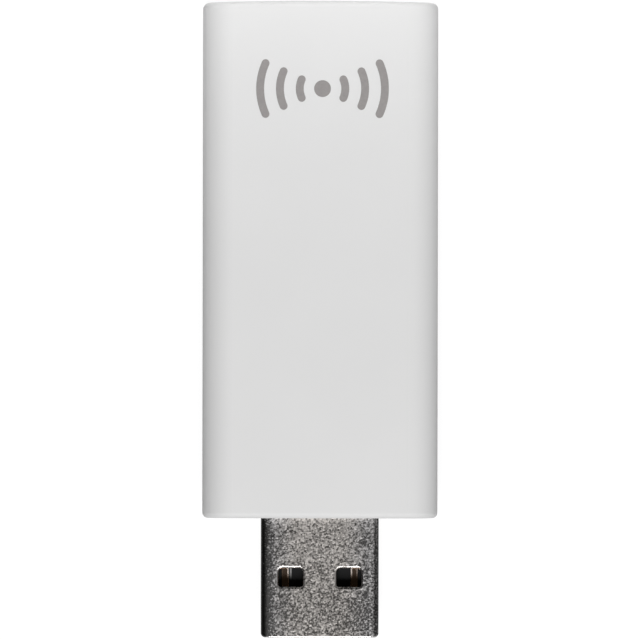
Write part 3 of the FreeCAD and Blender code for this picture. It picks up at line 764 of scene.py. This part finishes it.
# %% The shape of one wave
print_thickness = 0.012 * MM
wave_radii = [2.3, 4.3, 6.3]
wave_half_angle = math.radians(24)
stroke = 0.8
dot_radius = 0.85
dot_steps, arc_steps, cap_steps = 64, 40, 12


def ring_points(centre, radius, start, end, steps):
    """Points along an arc, in millimetres."""
    return [(centre[0] + radius * math.cos(start + (end - start) * i / steps),
             centre[1] + radius * math.sin(start + (end - start) * i / steps)) for i in range(steps + 1)]


def wave_outline(radius, facing):
    """One wave: out along its outer edge, round the cap, back along its inner edge, round the other cap."""
    low, high = facing - wave_half_angle, facing + wave_half_angle
    outline = ring_points((0, 0), radius + stroke / 2, low, high, arc_steps)
    tip = (radius * math.cos(high), radius * math.sin(high))
    outline += ring_points(tip, stroke / 2, high, high + math.pi, cap_steps)[1:]
    outline += ring_points((0, 0), radius - stroke / 2, high, low, arc_steps)[1:]
    tip = (radius * math.cos(low), radius * math.sin(low))
    outline += ring_points(tip, stroke / 2, low + math.pi, low + 2 * math.pi, cap_steps)[1:-1]
    return outline


# %% Build the print
print_centre = Vector((0.2, 23.3, 0)) * MM
face_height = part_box("front_shell")[1].z
outlines = [ring_points((0, 0), dot_radius, 0, 2 * math.pi, dot_steps)[:-1]]
outlines += [wave_outline(radius, facing) for radius in wave_radii for facing in (0, math.pi)]
ink = bmesh.new()
for outline in outlines:
    corners = [ink.verts.new((x * MM, y * MM, 0)) for x, y in outline]
    ink.faces.new(corners)
raised = bmesh.ops.extrude_face_region(ink, geom=ink.faces[:])
tops = [item for item in raised["geom"] if isinstance(item, bmesh.types.BMVert)]
bmesh.ops.translate(ink, verts=tops, vec=(0, 0, print_thickness))
bmesh.ops.recalc_face_normals(ink, faces=ink.faces[:])
bmesh.ops.translate(ink, verts=ink.verts[:], vec=print_centre + Vector((0, 0, face_height)))
mesh = bpy.data.meshes.new("radio_wave_print")
ink.to_mesh(mesh)
ink.free()
radio_waves = bpy.data.objects.new("radio_wave_print", mesh)
bpy.context.scene.collection.objects.link(radio_waves)
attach(radio_waves, "root")
print("print", [round(v / MM, 2) for v in radio_waves.dimensions], "mm, with", len(mesh.polygons), "faces")

# %% Printing ink
def printing_ink():
    """Warm grey ink that is a little thinner in places."""
    thick, thin = (0.274, 0.258, 0.256), (0.309, 0.292, 0.286)
    finish, tree, shader = new_finish("printing_ink", thick, 0.5)
    mottle(tree, shader, noise(tree, 0.35, detail=3.0, seed=11.0), thick, thin)
    bumps(tree, shader, noise(tree, 0.12, seed=12.0), 0.002)
    return finish


mesh.materials.append(printing_ink())

# %% [markdown]
# ## The floor
# The stick lies on a white sheet. To the camera, and in reflections, the sheet is white with a faint
# shadow. To the light that it bounces back up it is a mid grey, so it doesn't wash out the dark sides.
# The Light Path node tells these two cases apart. The sheet lies 0.02 mm below the stick's back, so
# that the two faces never share a place.

# %% White sheet
sheet_reach = 2.5
sheet_top = -0.02 * MM
own_glow = 0.86
shade_seen = (0.21, 0.21, 0.21, 1.0)
shade_bounced = (0.33, 0.33, 0.33, 1.0)


def white_sheet():
    """White with a faint shadow to the camera and in reflections, mid grey to all other light."""
    finish = bpy.data.materials.new("white_sheet")
    finish.use_nodes = True
    finish.cycles.emission_sampling = "NONE"
    tree = finish.node_tree
    tree.nodes.remove(tree.nodes["Principled BSDF"])
    path = tree.nodes.new("ShaderNodeLightPath")
    seen = path.outputs["Is Camera Ray"]
    for kind in ("Is Glossy Ray", "Is Transmission Ray"):
        seen = maths(tree, "MAXIMUM", seen, path.outputs[kind])
    glow = tree.nodes.new("ShaderNodeEmission")
    glow.inputs["Strength"].default_value = own_glow
    shaded = tree.nodes.new("ShaderNodeBsdfDiffuse")
    shaded.inputs["Color"].default_value = shade_seen
    seen_look = tree.nodes.new("ShaderNodeAddShader")
    tree.links.new(glow.outputs[0], seen_look.inputs[0])
    tree.links.new(shaded.outputs[0], seen_look.inputs[1])
    bounce = tree.nodes.new("ShaderNodeBsdfDiffuse")
    bounce.inputs["Color"].default_value = shade_bounced
    either_look = tree.nodes.new("ShaderNodeMixShader")
    tree.links.new(seen, either_look.inputs["Fac"])
    tree.links.new(bounce.outputs[0], either_look.inputs[1])
    tree.links.new(seen_look.outputs[0], either_look.inputs[2])
    tree.links.new(either_look.outputs[0], tree.nodes["Material Output"].inputs["Surface"])
    return finish


sheet_mesh = bpy.data.meshes.new("sheet")
corner_signs = ((-1, -1), (1, -1), (1, 1), (-1, 1))
sheet_corners = [(x * sheet_reach, y * sheet_reach, sheet_top) for x, y in corner_signs]
sheet_mesh.from_pydata(sheet_corners, [], [(0, 1, 2, 3)])
sheet_mesh.materials.append(white_sheet())
floor = bpy.data.objects.new("sheet", sheet_mesh)
bpy.context.scene.collection.objects.link(floor)
